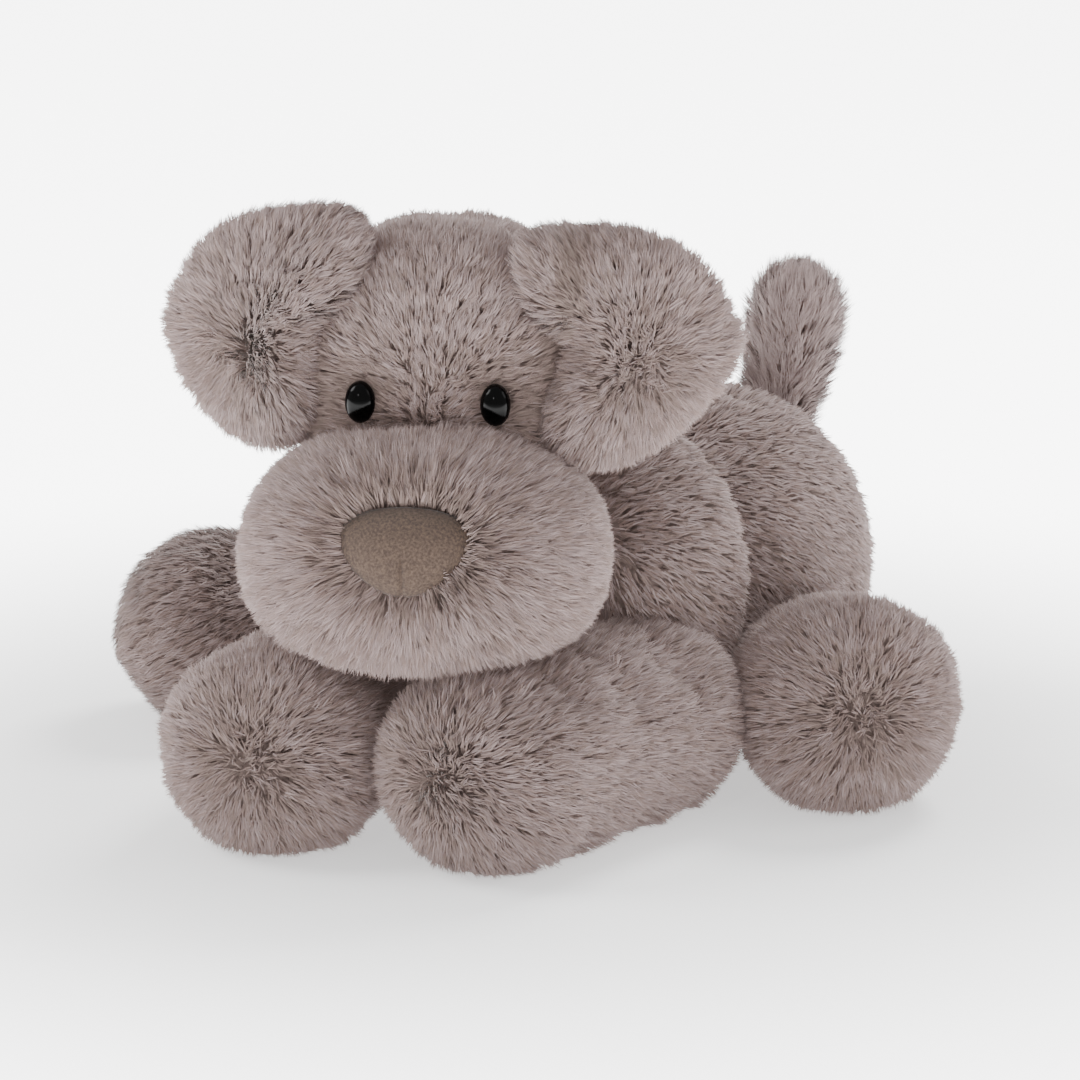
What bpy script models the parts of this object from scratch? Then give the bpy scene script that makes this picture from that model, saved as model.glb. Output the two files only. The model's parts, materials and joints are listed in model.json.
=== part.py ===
"""A plush dog lying on its belly, as the separate sewn and stuffed pieces that it is made of.

Metres, +Z up. The floor is z = 0 and the dog's torso faces -Y, so its left side is +X. Its head is
turned to its left. Each cover is a bag of pile fabric, open at a seam, round its filling. A cover's
outer face lies in the pile, a little below the tips of its hairs.
"""

import math

import bmesh
import bpy
import numpy as np
from mathutils import Matrix, Vector

# The middle of the whole dog's footprint, in the torso's own frame, is put at the world's origin.
FOOTPRINT_MIDDLE = (-0.0183, 0.1062, 0.0)

COVER_WALL = 0.007  # backing cloth and the dense part of the pile
THIN_WALL = 0.005  # on the ears and the tail
FILL_GAP = 0.001
TOUCH_GAP = 0.0003
MOVE_GAP = 0.0025

# Torso: distance along the dog, half width, underside, back and sideways sway, from chest to rump.
TORSO_STATIONS = (
    (0.070, 0.000, 0.096, 0.096, 0.000),
    (0.074, 0.030, 0.076, 0.114, 0.000),
    (0.088, 0.053, 0.040, 0.124, 0.000),
    (0.115, 0.064, 0.006, 0.131, 0.001),
    (0.150, 0.067, -0.003, 0.137, 0.003),
    (0.192, 0.071, -0.004, 0.139, 0.005),
    (0.230, 0.063, -0.001, 0.127, 0.008),
    (0.256, 0.042, 0.020, 0.102, 0.010),
    (0.267, 0.000, 0.062, 0.062, 0.011),
)
TORSO_FULLNESS = 2.25

# Legs: each lies on the floor and turns about an upright line through its inner end.
LEG_HALF_WIDTH = 0.040
LEG_HALF_HEIGHT = 0.037
LEG_FLAT = 0.0015
LEG_PIVOTS = {
    "front_left": (0.052, 0.080),
    "front_right": (-0.060, 0.060),
    "hind_left": (0.083, 0.174),
    "hind_right": (-0.078, 0.168),
}
LEG_REACH = {"front_left": 0.084, "front_right": 0.086, "hind_left": 0.059, "hind_right": 0.097}
LEG_HEADING = {  # degrees from straight ahead, positive towards the dog's left
    "front_left": -7.0,
    "front_right": 14.0,
    "hind_left": 36.0,
    "hind_right": -52.0,
}
LEG_ROOM_LENGTH = 0.13
HIP_OPENING_RADIUS = 0.014
PAW_BEANS_RADII = (0.0285, 0.021, 0.0255)
PAW_BEANS_AHEAD = 0.004

BELLY_BEANS_RADII = (0.030, 0.036, 0.0135)
BELLY_BEANS_CENTRE = (0.0, 0.155, 0.0235)
CLOSING_SEAM_Y = (0.130, 0.175)
CLOSING_SLOT = 0.003
THREAD_RADIUS = 0.0005
THREAD_STEPS = 18

# Neck and head: the head looks to the dog's left, and tips on the neck's middle.
NECK_PIVOT = (-0.019, 0.074, 0.100)
NECK_RADIUS = 0.026
NECK_OPENING_RADIUS = 0.010
NECK_LEAN = 60.0
HEAD_TURN = 23.0
SKULL_RADII = (0.049, 0.048, 0.055)
SKULL_CENTRE = (-0.0015, -0.030, 0.067)  # from the neck's pivot, along the head's own axes
SKULL_FULLNESS = 2.2
MUZZLE_RADII = (0.0635, 0.052, 0.045)
MUZZLE_CENTRE = (-0.003, -0.074, 0.008)
MUZZLE_FULLNESS = 2.3
CHIN_FLAT = -0.025  # the muzzle is flattened where it rests on the front legs
THROAT_RADIUS = 0.024

NOSE_HEIGHT = 0.0125  # of its middle above the muzzle's middle
NOSE_HALF_WIDTH = 0.022
NOSE_HALF_HEIGHT = 0.0155
NOSE_CROWN = 0.0045
NOSE_EDGE = 0.0025
SUEDE = 0.0015

EYE_SPREAD = 0.0245
EYE_HEIGHT = -0.0045  # below the skull's middle
EYE_RADII = (0.0055, 0.0045, 0.0078)
EYE_PROUD = 0.0035
EYE_TURN = 14.0
EYE_SHANK_RADIUS = 0.002
EYE_SHANK_LENGTH = 0.016
WASHER_RADIUS = 0.0075
WASHER_FROM = 0.0095
WASHER_THICKNESS = 0.002

# Ears: a flap sewn to the skull along a line that slants, as seen from the front.
EAR_SEAM_MIDDLE = (0.0455, -0.012, 0.022)  # from the skull's middle
EAR_SEAM_SLANT = 18.0
EAR_HALF_SIZE = (0.035, 0.010, 0.041)
EAR_OFFSET = (0.024, 0.0, -0.008)
EAR_DROOP = 12.0
EAR_FULLNESS = 2.3
EAR_SWING = (-15.0, 30.0)  # the flap's inner edge is cut to clear the skull over this range

TAIL_PIVOT = (0.024, 0.250, 0.109)
TAIL_LENGTH = 0.070
TAIL_ROOT_RADIUS = 0.010
TAIL_TOP_RADIUS = 0.0175
TAIL_ROOM_RADIUS = 0.0175
TAIL_LEAN_BACK = 10.0

MATERIALS = {  # base colour, roughness
    "plush": ((0.33, 0.27, 0.26), 0.95),
    "suede": ((0.23, 0.17, 0.14), 0.85),
    "eye_plastic": ((0.006, 0.006, 0.007), 0.08),
    "washer_plastic": ((0.72, 0.72, 0.70), 0.4),
    "fibre_filling": ((0.86, 0.86, 0.85), 1.0),
    "bean_cloth": ((0.80, 0.79, 0.75), 0.9),
    "thread": ((0.36, 0.30, 0.28), 0.7),
}


def clear_scene():
    for old in list(bpy.data.objects):
        bpy.data.objects.remove(old, do_unlink=True)


def make_materials():
    for name, (colour, roughness) in MATERIALS.items():
        material = bpy.data.materials.new(name)
        material.use_nodes = True
        shader = material.node_tree.nodes["Principled BSDF"]
        shader.inputs["Base Color"].default_value = (*colour, 1.0)
        shader.inputs["Roughness"].default_value = roughness
        shader.inputs["Metallic"].default_value = 0.0


def put(thing, parent, location, turn):
    thing.parent = parent
    thing.location = location
    thing.rotation_euler = [math.radians(angle) for angle in turn]
    bpy.context.collection.objects.link(thing)
    return thing


def empty(name, location, parent=None, turn=(0.0, 0.0, 0.0)):
    """An empty on a joint's axis, which a body's pieces hang from. Angles are in degrees."""
    holder = bpy.data.objects.new(name, None)
    holder.empty_display_size = 0.02
    return put(holder, parent, location, turn)


def add(name, mesh, material, parent, location=(0.0, 0.0, 0.0), turn=(0.0, 0.0, 0.0)):
    mesh.materials.append(bpy.data.materials[material])
    return put(bpy.data.objects.new(name, mesh), parent, location, turn)


def add_cutter(name, mesh, parent, location=(0.0, 0.0, 0.0), turn=(0.0, 0.0, 0.0)):
    cutter = put(bpy.data.objects.new(name, mesh), parent, location, turn)
    cutter.hide_render = True
    cutter.display_type = "WIRE"
    return cutter


def cut(piece, *cutters):
    for cutter in cutters:
        modifier = piece.modifiers.new("cut_" + cutter.name, "BOOLEAN")
        modifier.operation = "DIFFERENCE"
        modifier.solver = "EXACT"
        modifier.object = cutter


def stuffed(name, shape, holder, place, turn, rooms, openings, wall=COVER_WALL, filling="stuffing"):
    """A plush cover and its filling. shape(name, inset) is the skin that far inside the cover's face.

    Each of the rooms gives, for an inset, the cutter that keeps that skin off a neighbour.
    """
    core_name = name + "_" + filling
    cover = add(name + "_cover", shape(name + "_cover", 0.0), "plush", holder, place, turn)
    hollow = add_cutter(name + "_hollow", shape(name + "_hollow", wall), holder, place, turn)
    core_inset = wall + FILL_GAP
    core = add(core_name, shape(core_name, core_inset), "fibre_filling", holder, place, turn)
    for solid, inset in ((cover, 0.0), (hollow, wall), (core, core_inset)):
        cut(solid, *[room(inset) for room in rooms])
    cut(cover, hollow, *openings)
    return cover, core


def room_in(name, mesh_of, holder, place=(0.0, 0.0, 0.0), turn=(0.0, 0.0, 0.0)):
    """The function that stuffed asks for each of a room's cutters. mesh_of(name, inset) is its shape."""

    def room(inset):
        label = f"{name}_{round(inset * 1e4)}"
        return add_cutter(label, mesh_of(label, inset), holder, place, turn)

    return room


def mesh_from(name, shell):
    """Takes the bmesh's faces, pointed outwards, and frees it."""
    bmesh.ops.recalc_face_normals(shell, faces=shell.faces)
    mesh = bpy.data.meshes.new(name)
    shell.to_mesh(mesh)
    shell.free()
    mesh.shade_smooth()
    return mesh


def ring_mesh(name, rings, first, last):
    """A closed skin through rings with equal numbers of points, ended by the points first and last."""
    rings = np.asarray(rings, dtype=float)
    count, sides = rings.shape[:2]
    points = np.vstack([rings.reshape(-1, 3), [first], [last]])
    index = np.arange(count * sides).reshape(count, sides)
    ahead = np.roll(index, -1, axis=1)
    quads = np.stack([index[:-1], ahead[:-1], ahead[1:], index[1:]], axis=-1).reshape(-1, 4)
    first_fan = [(len(points) - 2, b, a) for a, b in zip(index[0], ahead[0])]
    last_fan = [(len(points) - 1, a, b) for a, b in zip(index[-1], ahead[-1])]
    rough = bpy.data.meshes.new(name + "_rings")
    rough.from_pydata(points.tolist(), [], quads.tolist() + first_fan + last_fan)
    shell = bmesh.new()
    shell.from_mesh(rough)
    bpy.data.meshes.remove(rough)
    return mesh_from(name, shell)


def round_angles(sides):
    return np.linspace(0.0, 2 * math.pi, sides, endpoint=False)


def superellipsoid(name, radii, power=2.0, sides=14, bands=8):
    """|x/a|^p + |y/b|^p + |z/c|^p = 1, as rings round the Y axis. A power over 2 fills its corners."""
    polar = np.linspace(0.0, math.pi, bands + 1)[1:-1, None]
    around = round_angles(sides)[None, :]
    across = np.sin(polar) * np.cos(around)
    up = np.sin(polar) * np.sin(around)
    unit = np.stack([across, -np.cos(polar) + 0 * around, up], axis=-1)
    unit /= (np.abs(unit) ** power).sum(axis=-1, keepdims=True) ** (1 / power)
    tip = (0.0, radii[1], 0.0)
    return ring_mesh(name, unit * np.array(radii), (0.0, -radii[1], 0.0), tip)


def less(radii, inset):
    return tuple(radius - inset for radius in radii)


def superellipse_front(x, z, radii, power):
    """How far a superellipsoid's front lies ahead of its middle, over the point (x, z)."""
    share = 1 - np.abs(x / radii[0]) ** power - np.abs(z / radii[2]) ** power
    return radii[1] * share ** (1 / power)


def capsule(name, reach, inset, sides=14, bands=3):
    """A round-ended leg from the origin's upright axis to reach along -Y, its underside just below z = 0."""
    width = LEG_HALF_WIDTH - inset
    height = LEG_HALF_HEIGHT - inset
    middle = LEG_HALF_HEIGHT - LEG_FLAT
    around = round_angles(sides)
    inner_end = [(0.0, math.pi / 2 * k / bands) for k in range(1, bands + 1)]
    outer_end = [(-reach, math.pi / 2 * (1 + k / bands)) for k in range(bands)]
    rings = []
    for end, angle in inner_end + outer_end:
        across = width * math.sin(angle) * np.cos(around)
        along = np.full(sides, end + width * math.cos(angle))
        up = middle + height * math.sin(angle) * np.sin(around)
        rings.append(np.stack([across, along, up], axis=-1))
    return ring_mesh(name, rings, (0.0, width, middle), (0.0, -reach - width, middle))


def between(knots, values, where):
    """A smooth curve through the knots, from each knot's slope to its neighbours."""
    slope = np.gradient(values, knots)
    place = int(np.clip(np.searchsorted(knots, where) - 1, 0, len(knots) - 2))
    step = knots[place + 1] - knots[place]
    t = (where - knots[place]) / step
    return (
        (2 * t**3 - 3 * t**2 + 1) * values[place]
        + (t**3 - 2 * t**2 + t) * step * slope[place]
        + (3 * t**2 - 2 * t**3) * values[place + 1]
        + (t**3 - t**2) * step * slope[place + 1]
    )


def bulged(wave):
    return np.sign(wave) * np.abs(wave) ** (2 / TORSO_FULLNESS)


def torso_mesh(name, inset, sides=18, bands=11):
    """Rings from chest to rump whose width, underside and back follow the stations."""
    stations = np.array(TORSO_STATIONS)
    knots = stations[:, 0]
    low, high = knots[0] + inset, knots[-1] - inset
    around = round_angles(sides)
    rings = []
    for angle in np.linspace(0.0, math.pi, bands + 1)[1:-1]:
        share = (1 - math.cos(angle)) / 2
        along = knots[0] + share * (knots[-1] - knots[0])
        half, under, back, sway = (between(knots, stations[:, k], along) for k in (1, 2, 3, 4))
        half = max(half - inset, 0.004)
        under = under + inset
        back = max(back - inset, under + 0.008)
        across = sway + bulged(np.cos(around)) * half
        up = (under + back) / 2 + bulged(np.sin(around)) * (back - under) / 2
        ahead = np.full(sides, low + share * (high - low))
        rings.append(np.stack([across, ahead, up], axis=-1))
    first = (stations[0, 4], low, stations[0, 2])
    last = (stations[-1, 4], high, stations[-1, 2])
    return ring_mesh(name, rings, first, last)


def leg_room_mesh(name, inset):
    """The upright room that a leg lies in: round about its pivot and open ahead, along -Y."""
    radius = LEG_HALF_WIDTH + MOVE_GAP + inset
    under = -0.02
    top = 2 * LEG_HALF_HEIGHT + MOVE_GAP + inset
    around = np.linspace(0.0, math.pi, 9)
    outline = [(radius * math.cos(angle), radius * math.sin(angle)) for angle in around]
    outline += [(-radius, -LEG_ROOM_LENGTH), (radius, -LEG_ROOM_LENGTH)]
    shell = bmesh.new()
    base = shell.faces.new([shell.verts.new((x, y, under)) for x, y in outline])
    grown = bmesh.ops.extrude_face_region(shell, geom=[base])
    moved = [item for item in grown["geom"] if isinstance(item, bmesh.types.BMVert)]
    bmesh.ops.translate(shell, verts=moved, vec=(0.0, 0.0, top - under))
    return mesh_from(name, shell)


def bar_mesh(name, radius, low, high, sides=12):
    """A round bar along Y."""
    around = round_angles(sides)
    across, up = radius * np.cos(around), radius * np.sin(around)
    rings = [np.stack([across, np.full(sides, along), up], axis=-1) for along in (low, high)]
    return ring_mesh(name, rings, (0.0, low, 0.0), (0.0, high, 0.0))


def box_mesh(name, low, high):
    shell = bmesh.new()
    size = Vector(high) - Vector(low)
    middle = (Vector(high) + Vector(low)) / 2
    fit = Matrix.Translation(middle) @ Matrix.Diagonal((*size, 1.0))
    bmesh.ops.create_cube(shell, size=1.0, matrix=fit)
    return mesh_from(name, shell)


def floor_room(name, holder, height):
    """Cuts flat what would lie under this height."""
    return room_in(
        name + "_floor",
        lambda label, inset: box_mesh(label, (-0.3, -0.3, -0.2), (0.3, 0.3, height + inset)),
        holder,
    )


def ball_room(name, holder, place, radius):
    return room_in(
        name,
        lambda label, inset: superellipsoid(label, (radius + inset,) * 3),
        holder,
        place,
    )


def build_legs(root):
    """Makes each leg, with a pouch of beans in its paw, and returns the empties on their pivots."""
    pivots = {}
    for leg, (x, y) in LEG_PIVOTS.items():
        reach = LEG_REACH[leg]
        name = leg + "_leg"
        pivot = empty(name + "_pivot", (x, y, 0.0), root, (0.0, 0.0, LEG_HEADING[leg]))
        middle = (0.0, 0.0, LEG_HALF_HEIGHT)
        hip = bar_mesh(name + "_hip_opening", HIP_OPENING_RADIUS, 0.0, 0.06)
        opening = add_cutter(name + "_hip_opening", hip, pivot, middle)

        def shape(label, inset, reach=reach):
            return capsule(label, reach, inset)

        rooms = [floor_room(name, pivot, 0.0)]
        core = stuffed(name, shape, pivot, (0.0, 0.0, 0.0), (0.0, 0.0, 0.0), rooms, [opening])[1]
        beans_at = (0.0, -reach - PAW_BEANS_AHEAD, LEG_HALF_HEIGHT)
        beans = superellipsoid(name + "_paw_beans", PAW_BEANS_RADII, sides=12, bands=6)
        add(name + "_paw_beans", beans, "bean_cloth", pivot, beans_at)
        behind = beans_at[1] + PAW_BEANS_RADII[1] + FILL_GAP
        ahead = box_mesh(name + "_paw_room", (-0.1, behind - 0.2, -0.1), (0.1, behind, 0.2))
        cut(core, add_cutter(name + "_paw_room", ahead, pivot))
        pivots[leg] = pivot
    return pivots


def build_torso(root, pivots):
    """The torso's hollow leaves a wall round each leg's room, as the cloth does where a leg is sewn on."""
    rooms = [floor_room("torso", root, 0.0)]
    rooms += [room_in(leg + "_room", leg_room_mesh, pivot) for leg, pivot in pivots.items()]
    rooms.append(ball_room("neck_room", root, NECK_PIVOT, NECK_RADIUS + MOVE_GAP))
    rooms.append(ball_room("tail_room", root, TAIL_PIVOT, TAIL_ROOM_RADIUS))
    low, high = CLOSING_SEAM_Y
    half = CLOSING_SLOT / 2
    slot = box_mesh("closing_slot", (-half, low, -0.01), (half, high, 0.02))
    opening = add_cutter("closing_slot", slot, root)
    core = stuffed("torso", torso_mesh, root, (0.0, 0.0, 0.0), (0.0, 0.0, 0.0), rooms, [opening])[1]
    beans = superellipsoid("belly_beans", BELLY_BEANS_RADII)
    add("belly_beans", beans, "bean_cloth", root, BELLY_BEANS_CENTRE)
    nest = superellipsoid("belly_beans_nest", less(BELLY_BEANS_RADII, -FILL_GAP))
    nest_cutter = add_cutter("belly_beans_nest", nest, root, BELLY_BEANS_CENTRE)
    x, y, z = BELLY_BEANS_CENTRE
    well = box_mesh("belly_beans_well", (x - 0.018, y - 0.022, 0.002), (x + 0.018, y + 0.022, z))
    cut(core, nest_cutter, add_cutter("belly_beans_well", well, root))
    add_thread(root)


def add_thread(root):
    """The closing seam's thread, laced from side to side across the slot in the belly."""
    low, high = CLOSING_SEAM_Y
    curve = bpy.data.curves.new("closing_thread", "CURVE")
    curve.dimensions = "3D"
    spline = curve.splines.new("POLY")
    spline.points.add(THREAD_STEPS - 1)
    along = np.linspace(low + 0.002, high - 0.002, THREAD_STEPS)
    side = CLOSING_SLOT / 2 - THREAD_RADIUS - TOUCH_GAP
    for k, point in enumerate(spline.points):
        point.co = (side if k % 2 else -side, along[k], COVER_WALL / 2, 1.0)
    curve.bevel_depth = THREAD_RADIUS
    curve.bevel_resolution = 0
    curve.use_fill_caps = True
    curve.materials.append(bpy.data.materials["thread"])
    put(bpy.data.objects.new("closing_thread", curve), root, (0.0, 0.0, 0.0), (0.0, 0.0, 0.0))


def build_head(root):
    """The neck's ball turns in the torso, and the head tips on the same ball."""
    neck = empty("neck_pivot", NECK_PIVOT, root, (0.0, 0.0, HEAD_TURN))
    head = empty("head_pivot", (0.0, 0.0, 0.0), neck)
    still = (0.0, 0.0, 0.0)
    neck_bar = bar_mesh("neck_opening", NECK_OPENING_RADIUS, -0.04, 0.04)
    neck_opening = add_cutter("neck_opening", neck_bar, neck, turn=(NECK_LEAN, 0.0, 0.0))

    def neck_shape(label, inset):
        return superellipsoid(label, (NECK_RADIUS - inset,) * 3)

    stuffed("neck", neck_shape, neck, still, still, [], [neck_opening])

    line = Vector(SKULL_CENTRE) - Vector(MUZZLE_CENTRE)
    tilt = math.degrees(math.atan2(line.z, line.y))
    throat_bar = bar_mesh("throat", THROAT_RADIUS, 0.018, line.length - 0.012)
    throat = add_cutter("throat", throat_bar, head, MUZZLE_CENTRE, (tilt, 0.0, 0.0))
    neck_room = ball_room("head_neck_room", head, still, NECK_RADIUS + MOVE_GAP)
    chin_room = floor_room("chin", head, CHIN_FLAT)

    def skull_shape(label, inset):
        return superellipsoid(label, less(SKULL_RADII, inset), SKULL_FULLNESS, 18, 10)

    def muzzle_shape(label, inset):
        return superellipsoid(label, less(MUZZLE_RADII, inset), MUZZLE_FULLNESS, 18, 10)

    def muzzle_seat(label, inset):
        return muzzle_shape(label, -TOUCH_GAP - inset)

    seat = room_in("muzzle_seat", muzzle_seat, head, MUZZLE_CENTRE)
    skull, filling = stuffed(
        "head", skull_shape, head, SKULL_CENTRE, still, [seat, neck_room], [throat]
    )
    stuffed("muzzle", muzzle_shape, head, MUZZLE_CENTRE, still, [chin_room, neck_room], [throat])
    build_nose(head)
    build_eyes(head, skull, filling)
    build_ears(head)


def nose_rings(profile, sides=20):
    """Rings on the muzzle's front, each a share of the nose's outline at a height above the pile's face.

    The outline is a triangle with round corners, wide above.
    """
    around = round_angles(sides)
    wide = NOSE_HALF_WIDTH * np.cos(around) * (1 + 0.24 * np.sin(around)) / 1.06
    tall = NOSE_HALF_HEIGHT * (np.sin(around) + 0.10 * np.cos(2 * around))
    rings = []
    for share, height in profile:
        x, z = share * wide, NOSE_HEIGHT + share * tall
        front = superellipse_front(x, z, MUZZLE_RADII, MUZZLE_FULLNESS) + height
        rings.append(np.stack([x, -front, z], axis=-1))
    return rings


def nose_mesh(name, profile, first_height, last_height):
    ends = []
    for height in (first_height, last_height):
        front = superellipse_front(0.0, NOSE_HEIGHT, MUZZLE_RADII, MUZZLE_FULLNESS) + height
        ends.append((0.0, -front, NOSE_HEIGHT))
    return ring_mesh(name, nose_rings(profile), *ends)


def nose_top(share):
    """The patch's height: flat-topped, and down to its edge's height at the outline."""
    return NOSE_EDGE + (NOSE_CROWN - NOSE_EDGE) * math.sqrt(1 - share**4)


def build_nose(head):
    """A cup of suede that lies on the muzzle's front, with wadding in it."""
    outer = [(share, nose_top(share)) for share in (0.4, 0.75, 0.93, 1.0)]
    rim = [(1.0, TOUCH_GAP), (0.90, TOUCH_GAP)]
    hollow = [(share, nose_top(share) - SUEDE) for share in (0.88, 0.7, 0.35)]
    patch = nose_mesh("nose_patch", outer + rim + hollow, NOSE_CROWN, NOSE_CROWN - SUEDE)
    add("nose_patch", patch, "suede", head, MUZZLE_CENTRE)
    pad_top = [(share, nose_top(share) - SUEDE - TOUCH_GAP) for share in (0.3, 0.65, 0.82)]
    pad_crown = NOSE_CROWN - SUEDE - TOUCH_GAP
    pad_under = 2 * TOUCH_GAP
    padding = nose_mesh("nose_padding", pad_top + [(0.82, pad_under)], pad_crown, pad_under)
    add("nose_padding", padding, "fibre_filling", head, MUZZLE_CENTRE)


def build_eyes(head, skull, filling):
    """Each eye is a bead whose shank goes through the cover and is held by a washer behind it."""
    front = superellipse_front(EYE_SPREAD, EYE_HEIGHT, SKULL_RADII, SKULL_FULLNESS)
    middle = Vector(SKULL_CENTRE)
    for side, sign in (("left", 1.0), ("right", -1.0)):
        name = side + "_eye"
        place = middle + Vector((sign * EYE_SPREAD, -front - EYE_PROUD, EYE_HEIGHT))
        turn = (0.0, 0.0, sign * EYE_TURN)
        add(name, eye_mesh(name), "eye_plastic", head, place, turn)
        add(name + "_washer", washer_mesh(name + "_washer"), "washer_plastic", head, place, turn)
        hole = bar_mesh(name + "_hole", EYE_SHANK_RADIUS + TOUCH_GAP, -0.002, 0.04)
        socket = superellipsoid(name + "_socket", less(EYE_RADII, -TOUCH_GAP))
        well = bar_mesh(name + "_well", WASHER_RADIUS + FILL_GAP, WASHER_FROM - FILL_GAP, 0.021)
        well_cutter = add_cutter(name + "_well", well, head, place, turn)
        cut(skull, add_cutter(name + "_hole", hole, head, place, turn))
        cut(skull, add_cutter(name + "_socket", socket, head, place, turn), well_cutter)
        cut(filling, well_cutter)


def eye_mesh(name, sides=14, bands=8):
    """A bead, taller than wide, on a round shank that points into the head."""
    across, depth, tall = EYE_RADII
    shank = EYE_SHANK_RADIUS
    around = round_angles(sides)
    sections = []
    for polar in np.linspace(0.0, math.pi, bands + 1)[1:-1]:
        least = shank if polar > math.pi / 2 else 0.0
        girth = math.sin(polar)
        sections.append((max(across * girth, least), max(tall * girth, least), -depth * math.cos(polar)))
    sections += [(shank, shank, depth), (shank, shank, EYE_SHANK_LENGTH)]
    rings = []
    for wide, high, along in sections:
        ring = [wide * np.cos(around), np.full(sides, along), high * np.sin(around)]
        rings.append(np.stack(ring, axis=-1))
    return ring_mesh(name, rings, (0.0, -depth, 0.0), (0.0, EYE_SHANK_LENGTH, 0.0))


def washer_mesh(name, sides=12):
    """A flat ring round the shank, made by carrying a rectangle about the shank's axis."""
    inner = EYE_SHANK_RADIUS + TOUCH_GAP
    low, high = WASHER_FROM, WASHER_FROM + WASHER_THICKNESS
    corners = ((inner, low), (WASHER_RADIUS, low), (WASHER_RADIUS, high), (inner, high))
    shell = bmesh.new()
    loops = []
    for angle in round_angles(sides):
        c, s = math.cos(angle), math.sin(angle)
        loops.append([shell.verts.new((radius * c, y, radius * s)) for radius, y in corners])
    for here, after in zip(loops, loops[1:] + loops[:1]):
        for k in range(4):
            shell.faces.new((here[k], here[k - 1], after[k - 1], after[k]))
    return mesh_from(name, shell)


def build_ears(head):
    """Each ear hangs from an empty whose local Z axis runs along its seam, and is cut to the skull's side."""

    def ear_shape(label, inset):
        return superellipsoid(label, less(EAR_HALF_SIZE, inset), EAR_FULLNESS)

    def skull_side(swing, sign):
        """The skull, as the flap meets it when it has swung this far forwards."""
        seam = Vector((sign * EAR_SEAM_MIDDLE[0], *EAR_SEAM_MIDDLE[1:]))
        slant = Matrix.Rotation(math.radians(-sign * EAR_SEAM_SLANT), 4, "Y")
        back = slant @ Matrix.Rotation(math.radians(sign * swing), 4, "Z") @ slant.inverted()
        carry = Matrix.Translation(seam) @ back @ Matrix.Translation(-seam)

        def mesh_of(label, inset):
            mesh = superellipsoid(label, less(SKULL_RADII, -MOVE_GAP - inset), SKULL_FULLNESS)
            mesh.transform(carry)
            return mesh

        return mesh_of

    for side, sign in (("left", 1.0), ("right", -1.0)):
        name = side + "_ear"
        middle = Vector((sign * EAR_SEAM_MIDDLE[0], *EAR_SEAM_MIDDLE[1:]))
        slant = (0.0, -sign * EAR_SEAM_SLANT, 0.0)
        pivot = empty(name + "_pivot", Vector(SKULL_CENTRE) + middle, head, slant)
        upright = Matrix.Rotation(math.radians(sign * EAR_SEAM_SLANT), 3, "Y")
        place = upright @ Vector((sign * EAR_OFFSET[0], *EAR_OFFSET[1:]))
        turn = (0.0, sign * (EAR_SEAM_SLANT + EAR_DROOP), 0.0)
        near, far = sorted((-sign * 0.002, -sign * 0.045))
        slot = box_mesh(name + "_slot", (near, -0.0025, -0.012), (far, 0.0025, 0.012))
        opening = add_cutter(name + "_slot", slot, pivot, place, turn)
        rooms = []
        for k, swing in enumerate((0.0, *EAR_SWING)):
            mesh_of = skull_side(swing, sign)
            rooms.append(room_in(f"{name}_skull_side_{k}", mesh_of, head, SKULL_CENTRE))
        stuffed(name, ear_shape, pivot, place, turn, rooms, [opening], THIN_WALL, "wadding")


def tail_mesh(name, inset, sides=12):
    """A ball about the pivot, then a stem that widens to a round tip."""
    root = TAIL_ROOT_RADIUS - inset
    tip = TAIL_TOP_RADIUS - inset
    length = TAIL_LENGTH - inset
    sections = []
    for angle in np.radians((30.0, 60.0, 90.0)):
        sections.append((root * math.sin(angle), -root * math.cos(angle)))
    for share in (0.35, 0.7):
        sections.append((root + (tip - root) * share, (length - tip) * share))
    for angle in np.radians((0.0, 25.0, 50.0, 72.0)):
        sections.append((tip * math.cos(angle), length - tip + tip * math.sin(angle)))
    around = round_angles(sides)
    rings = []
    for girth, along in sections:
        ring = [girth * np.cos(around), 0.9 * girth * np.sin(around), np.full(sides, along)]
        rings.append(np.stack(ring, axis=-1))
    return ring_mesh(name, rings, (0.0, 0.0, -root), (0.0, 0.0, length))


def build_tail(root):
    """The tail stands up from the rump. Its root is round about the pivot, so it can wag."""
    pivot = empty("tail_pivot", TAIL_PIVOT, root, (-TAIL_LEAN_BACK, 0.0, 0.0))
    bar = bar_mesh("tail_opening", 0.003, -0.03, 0.0)
    opening = add_cutter("tail_opening", bar, pivot, turn=(90.0, 0.0, 0.0))
    still = (0.0, 0.0, 0.0)
    stuffed("tail", tail_mesh, pivot, still, still, [], [opening], THIN_WALL)


def main():
    clear_scene()
    make_materials()
    root = empty("dog_frame", (-FOOTPRINT_MIDDLE[0], -FOOTPRINT_MIDDLE[1], 0.0))
    pivots = build_legs(root)
    build_torso(root, pivots)
    build_head(root)
    build_tail(root)


main()
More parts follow.
